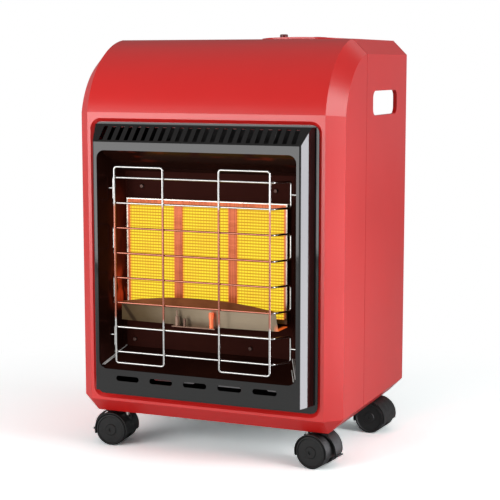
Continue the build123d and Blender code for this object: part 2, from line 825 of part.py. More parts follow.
def valve_body():
    """Brass gas valve hung under the knob well, with its stem bore and side port."""
    half, deep = valve_width / 2, valve_depth / 2
    body = box(knob_x - half, knob_x + half, panel_setback - deep, panel_setback + deep,
               valve_top - valve_height, valve_top)
    body = chamfer(body.edges().filter_by(Axis.Z), 4)
    body -= upright(stem_radius + 2 + running_gap, knob_x, panel_setback, valve_top - 18, valve_top + 1)
    body -= upright(stem_radius + 1, knob_x, panel_setback, valve_top - 24, valve_top - 17)
    start = (knob_x, front_y + panel_setback + deep, valve_port_z)
    collar_end = (knob_x, start[1] + 6, valve_port_z)
    body += rod(inlet_collar, start, collar_end)
    return body + rod(inlet_radius, collar_end, (knob_x, collar_end[1] + inlet_length, valve_port_z))


def supply_pipe():
    """Aluminium pipe from the valve, through the divider, down to the manifold's end."""
    run_y = front_y + venturi_setback
    mid_z = manifold_top - manifold_side / 2
    points = [(manifold_half_length, run_y, mid_z), (pipe_x, run_y, mid_z), (pipe_x, run_y, valve_port_z),
              (pipe_x, front_y + panel_setback, valve_port_z),
              (knob_x + valve_width / 2, front_y + panel_setback, valve_port_z)]
    return bent_rod(pipe_radius, points, pipe_bend * 0.8)


def igniter_button():
    """Push button of the spark igniter."""
    cap = upright(button_radius, button_x, panel_setback, top_z - 12, top_z + button_rise)
    return chamfer(cap.edges().group_by(Axis.Z)[-1], 1)


def igniter_body():
    """Barrel of the spark igniter, held under the control panel."""
    barrel = upright(igniter_radius, button_x, panel_setback, top_z - igniter_length, top_z)
    guide = upright(button_radius + seat_gap, button_x, panel_setback, top_z - 12 - button_travel - 1, top_z + 1)
    terminal = upright(2, button_x, panel_setback, top_z - igniter_length - 8, top_z - igniter_length)
    return barrel - guide + terminal


def tilt_switch():
    """Anti-tilt gas cut-out on the base pan."""
    length, depth, height = switch_size
    back = divider_setback - switch_gap
    return box(switch_x, switch_x + length, back - depth, back, deck_top, deck_top + height)


# ---------------------------------------------------------------- castors
def castor_places():
    """Name, X, setback and rest angle of each castor."""
    return [("front_left", -front_castor_x, front_castor_setback, front_left_angle),
            ("front_right", front_castor_x, front_castor_setback, front_right_angle),
            ("rear_left", -rear_castor_x, rear_castor_setback, rear_left_angle),
            ("rear_right", rear_castor_x, rear_castor_setback, rear_right_angle)]


def side_view(sketch, width, centre=0):
    """Castor side view, local x along the trail and local y up, made solid to a width."""
    start = Plane(origin=(0, centre - width / 2, 0), x_dir=(1, 0, 0), z_dir=(0, -1, 0))
    return extrude(start * sketch, amount=width, dir=(0, 1, 0))


def castor_hood(braked):
    """Web between the wheels, hood over them and boss for the stem; slotted where braked."""
    axle = Pos(castor_trail, wheel_radius)
    inner = wheel_radius + hood_gap
    outer = inner + hood_wall
    boss_height = boss_top - wheel_radius
    over = axle * Pos(0, outer - hood_drop) * Rectangle(2 * outer, 2 * outer)
    arch = (axle * Circle(outer) - axle * Circle(inner)) & over
    roof = axle * Circle(outer) & over
    boss = Pos(0, 0, wheel_radius + boss_height / 2) * Cylinder(boss_radius, boss_height)
    room = (castor_width() - web_width) / 2
    for side in (-1, 1):
        boss -= side_view(axle * Circle(inner), room + 1, side * (web_width + room + 1) / 2)
    body = side_view(roof + axle * Circle(web_radius), web_width) + boss
    body += side_view(arch, castor_width())
    body -= side_view(axle * Circle(axle_radius + running_gap), castor_width())
    body -= Pos(0, 0, boss_top) * Cylinder(castor_stem_radius + running_gap, 2 * stem_engagement)
    if braked:
        body -= lever_slot()
        pin = Pos(*lever_pin()) * Circle(lever_pin_radius + running_gap)
        body -= side_view(pin, web_width + 1)
    return body


def castor_width():
    """Width over both wheels and their gaps."""
    return web_width + 2 * (wheel_side_gap + wheel_width)


def castor_wheels():
    """Two wheels with dished outer faces."""
    inner = web_width / 2 + wheel_side_gap
    outer = inner + wheel_width
    rim = wheel_radius - wheel_edge
    path = Polyline((axle_radius, inner), (wheel_radius - 1, inner), (wheel_radius, inner + 1),
                    (wheel_radius, outer - wheel_edge))
    path += ThreePointArc((wheel_radius, outer - wheel_edge),
                          (rim + wheel_edge * sqrt(0.5), outer - wheel_edge * (1 - sqrt(0.5))), (rim, outer))
    path += Polyline((rim, outer), (rim - 1, outer), (rim - 2, outer - wheel_dish),
                     (wheel_hub_radius, outer - wheel_dish), (wheel_hub_radius - 1, outer - 0.2),
                     (axle_radius + 1, outer - 0.2), (axle_radius, outer - 0.2), (axle_radius, inner))
    centre = (castor_trail, 0, wheel_radius)
    profile = Plane(origin=centre, x_dir=(1, 0, 0), z_dir=(0, 0, 1)) * make_face(path)
    wheel = revolve(profile, Axis(centre, (0, 1, 0)))
    return Compound([wheel.solid(), mirror(wheel, about=Plane.XZ).solid()])


def castor_axle():
    """Axle pin through the web and both wheels."""
    reach = castor_width() - 2 * wheel_side_gap - 2
    return Pos(castor_trail, 0, wheel_radius) * Rot(90, 0, 0) * Cylinder(axle_radius, reach)


def castor_stem():
    """Steel swivel stem from the hood's boss up into the base pan's socket."""
    low, high = boss_top - stem_engagement, deck_z + socket_height - socket_roof - seat_gap
    return Pos(0, 0, (low + high) / 2) * Cylinder(castor_stem_radius, high - low)


def lever_pin():
    """Local x and z of the brake lever's pin."""
    angle = radians(lever_pin_angle)
    return castor_trail + lever_pin_reach * cos(angle), wheel_radius + lever_pin_reach * sin(angle)


def lever_turn(shape, degrees):
    """A shape in a castor's frame turned about the lever's pin, up for positive degrees."""
    x, z = lever_pin()
    return Pos(x, 0, z) * Rot(0, -degrees, 0) * Pos(-x, 0, -z) * shape


def lever_slot():
    """Room in the hood's web for the brake lever's tongue."""
    x, z = lever_pin()
    return Pos(x + 2, 0, z + 3) * Box(17, lever_tongue + 1, 16)


def brake_lever():
    """Foot lever that wraps the back of the hood, turned up to its free position, with its pin."""
    inner = wheel_radius + hood_gap + hood_wall + lever_gap
    outer = inner + lever_wall
    axle = Pos(castor_trail, wheel_radius)
    start, end = lever_pin_angle + 2, lever_end_angle
    wedge = make_face(Polyline((0, 0), (80 * cos(radians(start)), 80 * sin(radians(start))),
                               (90, 0), (80 * cos(radians(end)), 80 * sin(radians(end))), close=True))
    strap = (axle * Circle(outer) - axle * Circle(inner)) & (axle * wedge)
    tip_angle = radians(lever_end_angle)
    tip = Pos(castor_trail + inner * cos(tip_angle), wheel_radius + inner * sin(tip_angle))
    strap += tip * Pos(lever_tip_reach / 2, lever_wall / 2) * Rectangle(lever_tip_reach, lever_wall)
    lever = side_view(strap, lever_width)
    x, z = lever_pin()
    reach = inner + lever_wall / 2 - lever_pin_reach
    angle = radians(lever_pin_angle)
    tongue = Pos(x, z) * Rot(0, 0, lever_pin_angle - 8) * Pos(reach / 2, 0) * Rectangle(reach + 1, 5)
    lever += side_view(tongue + Pos(x, z) * Circle(3), lever_tongue)
    lever += side_view(Pos(x, z) * Circle(lever_pin_radius), web_width)
    return lever_turn(lever, lever_travel)


def place_castor(shape, x, setback, angle):
    """A castor piece moved from its own frame to its place and rest angle."""
    return Pos(x, front_y + setback, 0) * Rot(0, 0, angle) * shape


# ---------------------------------------------------------------- screws
def side_screws():
    """Pan-head screws on the rear flanges, as separate solids."""
    screws = []
    for x, height in side_screw_places():
        seat = front_y + body_depth
        head = rod(side_screw_radius, (x, seat, height), (x, seat + side_screw_head, height))
        head = chamfer(head.edges().sort_by(Axis.Y)[-1], 1)
        screws.append((head + rod(side_screw_shank, (x, seat - 6, height), (x, seat + 1, height))).solid())
    return Compound(screws)


def back_screws():
    """Round-head screws through the burner wall, as separate solids."""
    screws = []
    for x, height in back_screw_places:
        seat = front_y + firebox_back_setback
        head = rod(back_screw_radius, (x, seat, height), (x, seat - back_screw_head, height))
        head = chamfer(head.edges().sort_by(Axis.Y)[0], 0.8)
        screws.append((head + rod(back_screw_shank, (x, seat - 1, height), (x, seat + 6, height))).solid())
    return Compound(screws)


if __name__ == "__main__":
    write(front_housing(), "front_housing")
    write(cabinet_shell(), "cabinet_shell")
    write(base_pan(), "base_pan")
    write(tank_ring(), "tank_ring")
    write(divider_panel(), "divider_panel")
    write(top_heat_shield(), "top_heat_shield")
    write(fascia(), "fascia")
    write(firebox(), "firebox")
    write(burner_frame(), "burner_frame")
    for number, x in enumerate(plaque_centres()):
        write(plaque(x), f"plaque_{number + 1}")
        write(burner_body(x), f"burner_body_{number + 1}")
    write(gas_manifold(), "gas_manifold")
    write(injectors(), "injectors")
    write(manifold_bracket(), "manifold_bracket")
    write(deflector_tray(), "deflector_tray")
    write(pilot_bracket(), "pilot_bracket")
    write(pilot_burner(), "pilot_burner")
    write(spark_rod(), "spark_rod")
    write(flame_probe(), "flame_probe")
    write(guard(), "wire_guard")
    write(control_panel(), "control_panel")
    write(knob_well(), "knob_well")
    write(control_knob(), "control_knob")
    write(valve_stem(), "valve_stem")
    write(push_sleeve(), "push_sleeve")
    write(valve_body(), "valve_body")
    write(supply_pipe(), "supply_pipe")
    write(igniter_button(), "igniter_button")
    write(igniter_body(), "igniter_body")
    write(tilt_switch(), "tilt_switch")
    write(side_screws(), "side_screws")
    write(back_screws(), "back_screws")
    for name, x, setback, angle in castor_places():
        braked = name.startswith("front")
        write(place_castor(castor_hood(braked), x, setback, angle), f"castor_hood_{name}")
        write(place_castor(castor_stem(), x, setback, angle), f"castor_stem_{name}")
        write(place_castor(castor_wheels(), x, setback, angle), f"castor_wheels_{name}")
        write(place_castor(castor_axle(), x, setback, angle), f"castor_axle_{name}")
        if braked:
            write(place_castor(brake_lever(), x, setback, angle), f"brake_lever_{name}")
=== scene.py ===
import math

import bpy
import numpy as np
from bpy.props import FloatProperty, FloatVectorProperty, PointerProperty
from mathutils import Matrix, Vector


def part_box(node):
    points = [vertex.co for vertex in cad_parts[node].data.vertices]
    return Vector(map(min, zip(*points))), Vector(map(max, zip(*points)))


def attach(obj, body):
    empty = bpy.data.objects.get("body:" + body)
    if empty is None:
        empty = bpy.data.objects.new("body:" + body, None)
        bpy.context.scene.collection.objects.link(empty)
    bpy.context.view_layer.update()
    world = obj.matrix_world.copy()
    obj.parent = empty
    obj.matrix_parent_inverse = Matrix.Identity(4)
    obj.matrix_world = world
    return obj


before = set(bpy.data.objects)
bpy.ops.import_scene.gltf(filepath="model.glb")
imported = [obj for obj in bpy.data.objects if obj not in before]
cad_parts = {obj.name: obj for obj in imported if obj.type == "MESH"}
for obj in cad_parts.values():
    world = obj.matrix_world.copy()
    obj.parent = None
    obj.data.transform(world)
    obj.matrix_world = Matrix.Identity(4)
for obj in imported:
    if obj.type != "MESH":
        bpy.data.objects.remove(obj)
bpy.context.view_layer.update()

bl_info = {
    "name": "Cabinet Heater Finishes",
    "version": (1, 0, 0),
    "blender": (4, 5, 0),
    "location": "3D View > Sidebar > Heater",
    "description": "Finishes, small parts and studio for a portable cabinet heater",
    "category": "Object",
}

MM = 0.001
UNLIT = (0.0, 0.0, 0.0)
MIX_SHARE, MIX_FIRST, MIX_SECOND, MIX_RESULT = 0, 6, 7, 2   # the mix node's places for colours


def corners(node):
    """Lowest and highest corner of a node, as two arrays in metres."""
    low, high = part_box(node)
    return np.array(low), np.array(high)


# ---------------------------------------------------------------- settings
class EnamelSettings(bpy.types.PropertyGroup):
    """Paint of the shells and of the black front frame"""

    colour: FloatVectorProperty(
        name="Shell colour", description="Stoved enamel of the two shells", subtype="COLOR",
        size=3, min=0, max=1, default=(0.74, 0.017, 0.015))
    peel: FloatProperty(
        name="Orange peel", description="Strength of the paint's ripple", default=0.02, min=0, max=1)
    frame_colour: FloatVectorProperty(
        name="Frame colour", description="Gloss black of the front frame", subtype="COLOR",
        size=3, min=0, max=1, default=(0.006, 0.005, 0.005))


class GlowSettings(bpy.types.PropertyGroup):
    """Glow of the burner's ceramic plaques"""

    core: FloatVectorProperty(
        name="Core colour", description="Hottest part of a plaque", subtype="COLOR",
        size=3, min=0, max=1, default=(1.0, 0.86, 0.04))
    rim: FloatVectorProperty(
        name="Rim colour", description="Cooler rim of a plaque", subtype="COLOR",
        size=3, min=0, max=1, default=(1.0, 0.27, 0.05))
    strength: FloatProperty(
        name="Strength", description="Brightness of the plaques", default=1.0, min=0, max=10)
    row_pitch: FloatProperty(
        name="Row pitch", description="Height of one row of burner ports", default=4.3 * MM,
        min=0.001, unit="LENGTH")
    port_pitch: FloatProperty(
        name="Port pitch", description="Width of one burner port", default=4.4 * MM,
        min=0.001, unit="LENGTH")


class MetalSettings(bpy.types.PropertyGroup):
    """Bright and plated metal"""

    chrome: FloatVectorProperty(
        name="Chrome", description="Colour of the guard's plating", subtype="COLOR",
        size=3, min=0, max=1, default=(0.46, 0.45, 0.44))
    hot_wire: FloatVectorProperty(
        name="Hot wire", description="Tint of the guard where the plaques heat it", subtype="COLOR",
        size=3, min=0, max=1, default=(0.36, 0.13, 0.09))
    spangle: FloatProperty(
        name="Spangle size", description="Size of the zinc crystals on plated steel",
        default=9 * MM, min=0.001, unit="LENGTH")


class StudioSettings(bpy.types.PropertyGroup):
    """Camera, sky and lamps"""

    eye: FloatVectorProperty(
        name="Camera position", description="Where the camera stands", subtype="TRANSLATION",
        unit="LENGTH", size=3, default=(0.82784, -1.93194, 0.5756))
    yaw: FloatProperty(
        name="Yaw", description="Turn of the camera about the vertical", subtype="ANGLE",
        unit="ROTATION", default=math.radians(22.783))
    pitch: FloatProperty(
        name="Pitch", description="How far the camera looks down", subtype="ANGLE",
        unit="ROTATION", default=math.radians(7.639))
    lens: FloatProperty(
        name="Lens", description="Focal length in millimetres", default=99.75, min=10, unit="CAMERA")
    sky: FloatProperty(
        name="Sky", description="Strength of the studio's fill light", default=0.6, min=0)
    right: FloatProperty(
        name="Right box", description="Power of the softbox on the right", default=29, min=0, unit="POWER")
    front: FloatProperty(
        name="Front box", description="Power of the softbox on the front left", default=25.5, min=0,
        unit="POWER")
    back: FloatProperty(
        name="Back box", description="Power of the softbox behind", default=2.4, min=0, unit="POWER")
    strip: FloatProperty(
        name="Side strip", description="Power of the strip that the frame's side wall mirrors", default=4.6,
        min=0, unit="POWER")


# ---------------------------------------------------------------- surfaces worked out with arrays
def tube_faces(sides, rings):
    """Quads of a tube: point (i, j) joins to side i + 1, going round, and to ring j + 1."""
    i = np.arange(sides)[:, None]
    j = np.arange(rings - 1)[None, :]
    beside = (i + 1) % sides
    cells = [i * rings + j, i * rings + j + 1, beside * rings + j + 1, beside * rings + j]
    return np.stack(np.broadcast_arrays(*cells), axis=-1).reshape(-1, 4)


def make_piece(name, points, faces, material, body):
    """Smooth mesh object at the origin from arrays of points and quads, riding on a body."""
    mesh = bpy.data.meshes.new(name)
    mesh.from_pydata(points.reshape(-1, 3).tolist(), [], faces.tolist())
    mesh.polygons.foreach_set("use_smooth", np.full(len(mesh.polygons), True))
    mesh.materials.append(material)
    mesh.update()
    piece = bpy.data.objects.new(name, mesh)
    bpy.context.scene.collection.objects.link(piece)
    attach(piece, body)


def rod_along(start, end, radius, sides=10, dome=0.35):
    """Round bar between two points that don't lie one above the other. Its rings have the radius r, and over
    the domed ends r sin(a), at the distance cap (1 - cos(a)) from the tip, for a up to a quarter turn."""
    start, end = np.array(start, float), np.array(end, float)
    length = np.linalg.norm(end - start)
    axis = (end - start) / length
    side = np.cross(axis, [0.0, 0.0, 1.0])
    side /= np.linalg.norm(side)
    other = np.cross(axis, side)
    cap = min(dome * radius, length / 4)
    tip_radius = 1e-6
    turn = np.linspace(0, np.pi / 2, 4)
    along = np.concatenate([cap * (1 - np.cos(turn)), length - cap * (1 - np.cos(turn[::-1]))])
    reach = radius * np.concatenate([np.sin(turn), np.sin(turn[::-1])]) + tip_radius
    angle = np.linspace(0, 2 * np.pi, sides, endpoint=False)[:, None, None]
    ring = reach[None, :, None] * (np.cos(angle) * side + np.sin(angle) * other)
    points = start + along[None, :, None] * axis + ring
    return points, tube_faces(sides, len(along))


def gather(parts):
    """Several (points, faces) surfaces as one pair of arrays."""
    points, faces, count = [], [], 0
    for grid, quads in parts:
        flat = grid.reshape(-1, 3)
        points.append(flat)
        faces.append(quads + count)
        count += len(flat)
    return np.concatenate(points), np.concatenate(faces)


# ---------------------------------------------------------------- materials
class Nodes:
    """A node tree built with short calls. A number, a colour or another node's output can feed each input."""

    def __init__(self, tree):
        self.tree = tree

    def add(self, kind, **settings):
        """A new node with its settings."""
        node = self.tree.nodes.new(kind)
        for key, value in settings.items():
            setattr(node, key, value)
        return node

    def feed(self, socket, value):
        """Links an output to the input, or sets the input to a number or a colour."""
        if isinstance(value, bpy.types.NodeSocket):
            self.tree.links.new(value, socket)
        elif value is not None:
            coloured = isinstance(value, (tuple, list)) and len(value) == 3
            socket.default_value = (*value, 1) if coloured else value

    def maths(self, operation, first, second=None):
        """The operation done on one or two values."""
        node = self.add("ShaderNodeMath", operation=operation)
        for socket, value in zip(node.inputs, (first, second)):
            self.feed(socket, value)
        return node.outputs[0]

    def times(self, first, second):
        """The product of two values."""
        return self.maths("MULTIPLY", first, second)

    def split(self, vector):
        """The three parts of a vector or a colour."""
        node = self.add("ShaderNodeSeparateXYZ")
        self.feed(node.inputs[0], vector)
        return node.outputs

    def span(self, value, low, high, to_low=0.0, to_high=1.0, kind="SMOOTHSTEP"):
        """The stretch from low to high laid over the stretch from to_low to to_high, and held beyond it."""
        node = self.add("ShaderNodeMapRange", interpolation_type=kind)
        for socket, item in zip(node.inputs, (value, low, high, to_low, to_high)):
            self.feed(socket, item)
        return node.outputs[0]

    def blend(self, share, first, second):
        """Colour that goes from the first to the second as the share goes from 0 to 1."""
        node = self.add("ShaderNodeMix", data_type="RGBA")
        for place, item in ((MIX_SHARE, share), (MIX_FIRST, first), (MIX_SECOND, second)):
            self.feed(node.inputs[place], item)
        return node.outputs[MIX_RESULT]

    def send(self, output, share, first, second):
        """Sends two shaders, mixed by a share, to the tree's output."""
        mix = self.add("ShaderNodeMixShader")
        for socket, item in zip(mix.inputs, (share, first.outputs[0], second.outputs[0])):
            self.feed(socket, item)
        self.feed(self.add(output).inputs["Surface"], mix.outputs[0])


class Finish(Nodes):
    """One material: its principled shader, fed from the object's own coordinates."""

    def __init__(self, name, colour, roughness, metallic=0.0, ior=1.5):
        self.material = bpy.data.materials.new(name)
        self.material.use_nodes = True
        super().__init__(self.material.node_tree)
        self.skin = self.tree.nodes["Principled BSDF"]
        self.set(Base_Color=(*colour, 1), Roughness=roughness, Metallic=metallic, IOR=ior)
        self.material.diffuse_color = (*colour, 1)
        self.place = self.add("ShaderNodeTexCoord").outputs["Object"]

    def set(self, **values):
        """Sets inputs of the shader, named with _ for each space."""
        for key, value in values.items():
            self.skin.inputs[key.replace("_", " ")].default_value = value

    def axes(self):
        """x, y and z of the shaded point, in metres."""
        return self.split(self.place)

    def noise(self, scale, detail=3, roughness=0.5, vector=None):
        """Smooth noise between 0 and 1, with about this many waves to the metre."""
        node = self.add("ShaderNodeTexNoise")
        self.feed(node.inputs["Vector"], vector or self.place)
        node.inputs["Scale"].default_value = scale
        node.inputs["Detail"].default_value = detail
        node.inputs["Roughness"].default_value = roughness
        return node.outputs["Fac"]

    def cell_tone(self, size):
        """A random tone for each crystal of about this size."""
        node = self.add("ShaderNodeTexVoronoi")
        self.feed(node.inputs["Vector"], self.place)
        node.inputs["Scale"].default_value = 1 / size
        return self.split(node.outputs["Color"])[0]

    def stretch(self, scale):
        """The shaded point with x, y and z multiplied by three numbers."""
        node = self.add("ShaderNodeMapping")
        self.feed(node.inputs["Vector"], self.place)
        node.inputs["Scale"].default_value = scale
        return node.outputs[0]

    def paint(self, colour):
        """Feeds the base colour."""
        self.feed(self.skin.inputs["Base Color"], colour)

    def rough(self, value):
        """Feeds the roughness."""
        self.feed(self.skin.inputs["Roughness"], value)

    def wander(self, scale, detail, smooth, dull):
        """Roughness that wanders between two values."""
        self.rough(self.span(self.noise(scale, detail), 0.3, 0.7, smooth, dull))

    def glow(self, colour, strength):
        """Light given off, of a colour and an even strength."""
        self.feed(self.skin.inputs["Emission Color"], colour)
        self.set(Emission_Strength=strength)

    def bump(self, height, strength, distance):
        """Relief whose full height is the distance."""
        node = self.add("ShaderNodeBump")
        node.inputs["Strength"].default_value = strength
        node.inputs["Distance"].default_value = distance
        self.feed(node.inputs["Height"], height)
        self.feed(self.skin.inputs["Normal"], node.outputs[0])


def scaled(colour, share):
    """Colour with each part times a share."""
    return tuple(share * part for part in colour)


# The makers that return a Finish leave it open to more; the others return the material itself.
def enamel(name, colour, peel):
    """Stoved enamel: fine orange peel, a faint cloud in the colour and slightly uneven gloss."""
    finish = Finish(name, colour, 0.3, ior=1.58)
    cloud = finish.span(finish.noise(7, 2), 0.35, 0.65)
    finish.paint(finish.blend(cloud, colour, scaled(colour, 0.97)))
    finish.wander(9, 3, 0.29, 0.32)
    finish.bump(finish.noise(420, 2), peel, 0.3 * MM)
    return finish.material


def piano_black(name, colour):
    """Gloss black with a hint of ripple and soft handling haze."""
    finish = Finish(name, colour, 0.06, ior=1.45)
    finish.rough(finish.span(finish.noise(30, 5), 0.35, 0.7, 0.045, 0.10))
    finish.bump(finish.noise(260, 2), 0.03, 0.3 * MM)
    return finish.material


def moulded(name, colour, roughness):
    """Moulded plastic: a fine spark grain and a slight mottle in the gloss."""
    finish = Finish(name, colour, roughness, ior=1.42)
    finish.paint(finish.blend(finish.noise(40, 3), colour, scaled(colour, 1.35)))
    finish.wander(120, 4, roughness - 0.05, roughness + 0.08)
    finish.bump(finish.noise(900, 3, 0.7), 0.12, 0.2 * MM)
    return finish.material


def chrome(name, colour):
    """Bright plating with faint draw lines, as a Finish."""
    finish = Finish(name, colour, 0.14, metallic=1.0)
    finish.wander(300, 3, 0.10, 0.2)
    finish.bump(finish.noise(700, 2), 0.04, 0.2 * MM)
    return finish


def brushed(name, colour, roughness, stretch=(20, 900, 900)):
    """Brushed metal, as a Finish: long fine lines in the gloss and in the relief, along X unless told."""
    finish = Finish(name, colour, roughness, metallic=1.0)
    lines = finish.noise(1, 3, 0.6, finish.stretch(stretch))
    finish.rough(finish.span(lines, 0.3, 0.7, roughness - 0.07, roughness + 0.1))
    finish.paint(finish.blend(finish.noise(18, 3), colour, scaled(colour, 0.86)))
    finish.bump(lines, 0.1, 0.2 * MM)
    return finish


def zinc(name, size, share=1.0, shaded_front_edge=None):
    """Galvanised sheet: crystals of different tone and gloss, and painted shade, near black, on what lies
    ahead of the edge.
    """
    finish = Finish(name, scaled((0.52, 0.53, 0.54), share), 0.4, metallic=0.85)
    tone = finish.cell_tone(size)
    metal = finish.blend(tone, scaled((0.42, 0.43, 0.44), share), scaled((0.60, 0.61, 0.62), share))
    # painted shade: near-black colour on the sheet's front face
    if shaded_front_edge is not None:
        painted_shade = (0.012, 0.011, 0.011)
        behind = finish.span(finish.axes()[1], shaded_front_edge - 0.1 * MM, shaded_front_edge + 0.1 * MM)
        metal = finish.blend(behind, painted_shade, metal)
    finish.paint(metal)
    finish.rough(finish.span(tone, 0, 1, 0.32, 0.5))
    finish.bump(finish.noise(500, 2), 0.06, 0.2 * MM)
    return finish.material


def hot_zone(finish, low, high, half, soft=12 * MM):
    """1 in front of the plaques and 0 away from them, from the height and the distance off the middle."""
    x, _, z = finish.axes()
    up = finish.span(z, low - soft, low + soft)
    down = finish.span(z, high - soft, high + soft, 1.0, 0.0)
    across = finish.span(finish.maths("ABSOLUTE", x), half - soft, half + soft, 1.0, 0.0)
    return finish.times(finish.times(up, down), across)


def ports(finish, place, start, pitch):
    """|sin| of half a turn per pitch along one axis: 1 on a row of ports and 0 between two rows."""
    count = finish.maths("DIVIDE", finish.maths("SUBTRACT", place, start), pitch)
    return finish.maths("ABSOLUTE", finish.maths("SINE", finish.times(count, math.pi)))


def to_edge(finish, place, low, high):
    """Distance from the nearer of two edges."""
    off = finish.maths("ABSOLUTE", finish.maths("SUBTRACT", place, (low + high) / 2))
    return finish.maths("SUBTRACT", (high - low) / 2, off)


def glowing_ceramic(name, glow, low, high):
    """Radiant plaque: rows of lit ports with dark gaps between, a cooler rim and an uneven heat."""
    clay, between = (0.16, 0.06, 0.02), (0.46, 0.18, 0.0)
    finish = Finish(name, clay, 0.9)
    finish.set(Specular_IOR_Level=0.1)
    x, _, z = finish.axes()
    row_gap = finish.span(ports(finish, z, low[2], glow.row_pitch), 0.1, 1.0, 1.0, 0.0)
    port_gap = finish.span(ports(finish, x, low[0], glow.port_pitch), 0.05, 0.7, 1.0, 0.0)
    shade = finish.maths("MAXIMUM", row_gap, finish.times(port_gap, 0.7))
    rim_x = finish.span(to_edge(finish, x, low[0], high[0]), 1.0 * MM, 4.5 * MM, 1.0, 0.0)
    rim_z = finish.span(to_edge(finish, z, low[2], high[2]), 1.2 * MM, 3 * MM, 1.0, 0.0)
    rim = finish.maths("MAXIMUM", rim_x, rim_z)
    patchy = finish.span(finish.noise(26, 3), 0.4, 0.7, 0.0, 0.16)
    warm = finish.blend(finish.maths("ADD", rim, patchy), tuple(glow.core), tuple(glow.rim))
    finish.glow(finish.blend(finish.times(shade, 0.92), warm, between), glow.strength)
    finish.bump(finish.maths("SUBTRACT", 1.0, shade), 0.4, 0.6 * MM)
    return finish.material


def assign(material, *nodes):
    """Gives the nodes' own objects one material."""
    for node in nodes:
        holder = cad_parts[node]
        holder.data.materials.clear()
        holder.data.materials.append(material)


def nodes_named(*starts):
    """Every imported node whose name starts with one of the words."""
    return [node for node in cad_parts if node.startswith(starts)]


# ---------------------------------------------------------------- pieces
class HEATER_OT_shells(bpy.types.Operator):
    """Enamel the two shells and the control pad"""

    bl_idname = "heater.shells"
    bl_label = "Shells"

    def execute(self, context):
        paint = context.scene.heater_enamel
        material = enamel("red_stoved_enamel", tuple(paint.colour), paint.peel)
        assign(material, "front_housing", "cabinet_shell", "control_panel")
        return {"FINISHED"}


class HEATER_OT_front_frame(bpy.types.Operator):
    """Finish the gloss black front frame"""

    bl_idname = "heater.front_frame"
    bl_label = "Front frame"

    def execute(self, context):
        paint = context.scene.heater_enamel
        assign(piano_black("gloss_black_frame", tuple(paint.frame_colour)), "fascia")
        return {"FINISHED"}


